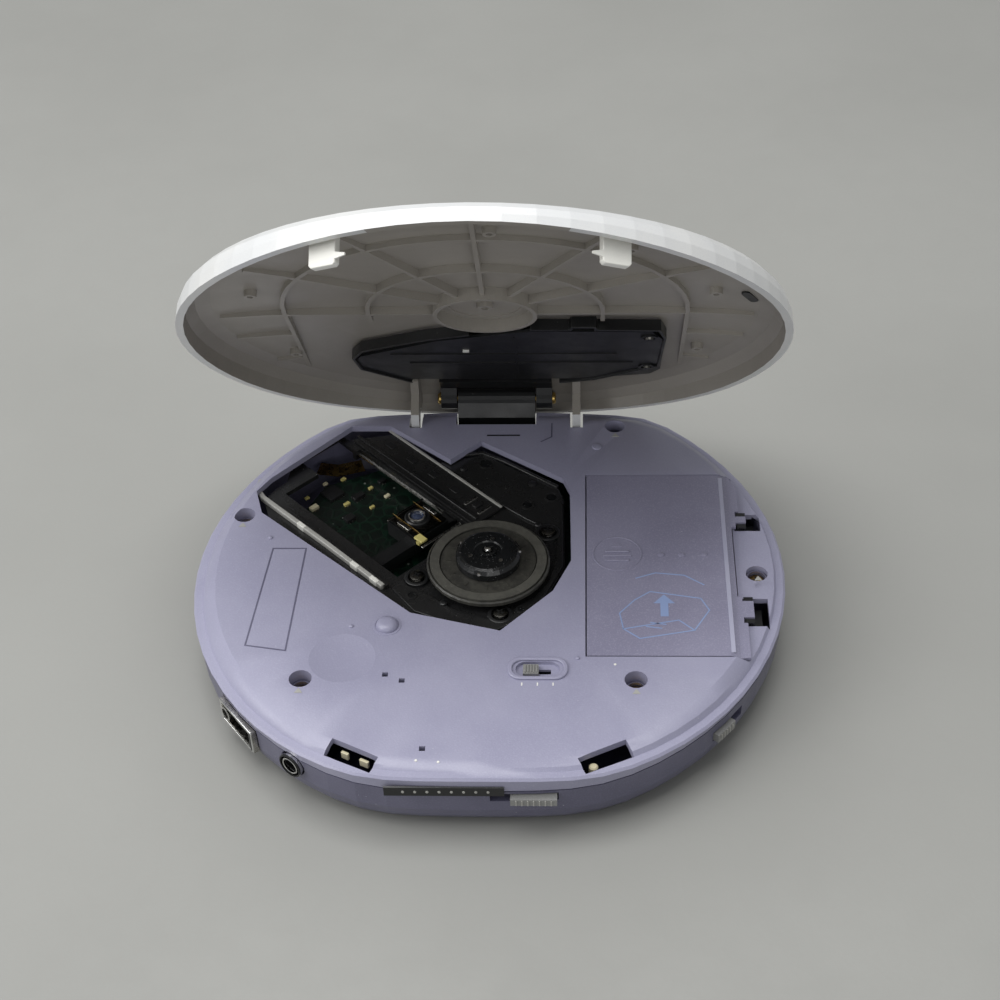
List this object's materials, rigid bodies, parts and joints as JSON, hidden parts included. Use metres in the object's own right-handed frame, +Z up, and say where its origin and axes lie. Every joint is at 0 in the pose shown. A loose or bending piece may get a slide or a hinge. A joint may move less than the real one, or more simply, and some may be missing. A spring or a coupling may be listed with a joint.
{
  "type": "portable cd player",
  "caption": "Round portable disc player with its hinged lid open, a turntable and pickup in the deck, a battery door and ribs inside the lid.",
  "frame": {"origin": "on the disc spindle's line, at the flat bottom that the player rests on", "axes": "+Z up along the spindle, -Y to the front where the lid opens, +Y to the lid hinge, +X to the battery door"},
  "size_m": [0.1372, 0.1321, 0.1227],
  "materials": {
    "lower_case": "dark purple-grey, softly metallic",
    "upper_case": "lavender-grey, softly metallic, satin",
    "battery_door": "lavender-grey, softly metallic, satin",
    "case_screw": "plated screw",
    "circuit_board": "solder mask",
    "black_plastic": "satin black",
    "grey_plastic": "satin grey",
    "bright_steel": "bright",
    "chassis": "dull black",
    "soft_rubber": "matt",
    "black_screw": "blackened screw",
    "rail_cover": "satin black sheet",
    "motor_can": "plated can",
    "pickup_cover": "dull sheet metal",
    "lens": "clear lens in a pale holder",
    "yellow_plastic": "translucent yellow",
    "grip_rubber": "dull grey-black rubber",
    "hub": "glossy black",
    "slide_grey": "satin",
    "cream_plastic": "satin",
    "socket_shell": "plated",
    "hinge_black": "satin black",
    "lid_white": "pearl outside, dull taupe inside",
    "lid_cover_black": "satin black",
    "display": "reflective display",
    "display_window": "glossy dark window",
    "key_grey": "satin silver"
  },
  "bodies": {
    "root": {"lower_case": "lower_case", "upper_case": "upper_case", "case_screw_1": "case_screw", "case_screw_2": "case_screw", "case_screw_3": "case_screw", "case_screw_4": "case_screw", "case_screw_5": "case_screw", "main_board": "circuit_board", "battery_bay": "black_plastic", "battery_pack": "grey_plastic", "battery_contact": "bright_steel", "mechanism_chassis": "chassis", "chassis_damper_1": "soft_rubber", "chassis_damper_2": "soft_rubber", "chassis_damper_3": "soft_rubber", "chassis_screw_1": "black_screw", "chassis_screw_2": "black_screw", "chassis_screw_3": "black_screw", "guide_rod_near": "bright_steel", "guide_rod_far": "bright_steel", "rail_cover": "rail_cover", "spindle_motor": "motor_can", "feed_motor": "motor_can", "headphone_jack": "black_plastic", "jack_ring": "black_plastic", "side_socket": "socket_shell", "hinge_block": "hinge_black", "hinge_pin": "bright_steel"},
    "lid": {"lid_shell": "lid_white", "lid_inner_cover": "lid_cover_black", "lid_cover_screw_1": "black_screw", "lid_cover_screw_2": "black_screw", "lid_board": "circuit_board", "display_module": "display", "display_window": "display_window", "hinge_bracket": "hinge_black"},
    "turntable": {"turntable": "black_plastic", "friction_ring": "grip_rubber", "spindle_hub": "hub", "spindle_shaft": "bright_steel"},
    "pickup": {"pickup_sled": "black_plastic", "pickup_cover": "pickup_cover", "objective_lens": "lens", "focus_block": "yellow_plastic"},
    "lead_screw": {"lead_screw": "bright_steel"},
    "door_slide": {"door_slider_front": "black_plastic", "door_slider_rear": "black_plastic", "door_pin_front": "bright_steel", "door_pin_rear": "bright_steel"},
    "battery_door": {"battery_door": "battery_door"},
    "open_slide": {"open_knob": "slide_grey", "latch_bar": "slide_grey", "latch_nose": "cream_plastic"},
    "hold_switch": {"hold_switch": "slide_grey"},
    "mode_switch": {"mode_switch": "slide_grey"},
    "key_back": {"key_back": "key_grey"},
    "key_play": {"key_play": "key_grey"},
    "key_stop": {"key_stop": "key_grey"},
    "key_next": {"key_next": "key_grey"}
  },
  "joints": [
    {"name": "lid_hinge", "type": "hinge", "parent": "root", "child": "lid", "pos_m": [0, 0.06, 0.0185], "axis": [1, 0, 0], "range_deg": [0, 54]},
    {"name": "turntable_spin", "type": "hinge", "parent": "root", "child": "turntable", "pos_m": [0, 0, 0.0178], "axis": [0, 0, 1], "continuous": true},
    {"name": "pickup_travel", "type": "slide", "parent": "root", "child": "pickup", "axis": [-0.7071, 0.7071, 0], "range_m": [0, 0.0318]},
    {"name": "lead_screw_turn", "type": "hinge", "parent": "root", "child": "lead_screw", "pos_m": [-0.00028, 0.01838, 0.0113], "axis": [-0.7071, 0.7071, 0], "range_deg": [0, 3820]},
    {"name": "battery_door_travel", "type": "slide", "parent": "root", "child": "door_slide", "axis": [-1, 0, 0], "range_m": [-0.0022, 0]},
    {"name": "battery_door_hinge", "type": "hinge", "parent": "door_slide", "child": "battery_door", "pos_m": [0.0594, 0, 0.0149], "axis": [0, -1, 0], "range_deg": [-95, 0]},
    {"name": "open_slide_travel", "type": "slide", "parent": "root", "child": "open_slide", "axis": [-1, 0, 0], "range_m": [0, 0.004], "stiffness_N_per_m": 80, "springref_m": -0.002},
    {"name": "hold_switch_travel", "type": "slide", "parent": "root", "child": "hold_switch", "axis": [0.6428, 0.766, 0], "range_m": [0, 0.004]},
    {"name": "mode_switch_travel", "type": "slide", "parent": "root", "child": "mode_switch", "axis": [1, 0, 0], "range_m": [0, 0.003]},
    {"name": "key_back_press", "type": "slide", "parent": "lid", "child": "key_back", "axis": [0, -0.809, -0.5878], "range_m": [0, 0.0004], "stiffness_N_per_m": 300, "springref_m": -0.0008},
    {"name": "key_play_press", "type": "slide", "parent": "lid", "child": "key_play", "axis": [0, -0.809, -0.5878], "range_m": [0, 0.0004], "stiffness_N_per_m": 300, "springref_m": -0.0008},
    {"name": "key_stop_press", "type": "slide", "parent": "lid", "child": "key_stop", "axis": [0, -0.809, -0.5878], "range_m": [0, 0.0004], "stiffness_N_per_m": 300, "springref_m": -0.0008},
    {"name": "key_next_press", "type": "slide", "parent": "lid", "child": "key_next", "axis": [0, -0.809, -0.5878], "range_m": [0, 0.0004], "stiffness_N_per_m": 300, "springref_m": -0.0008}
  ],
  "couplings": [
    {"joint": "lead_screw_turn", "follows": "pickup_travel", "rad_per_m": 2094.4}
  ]
}
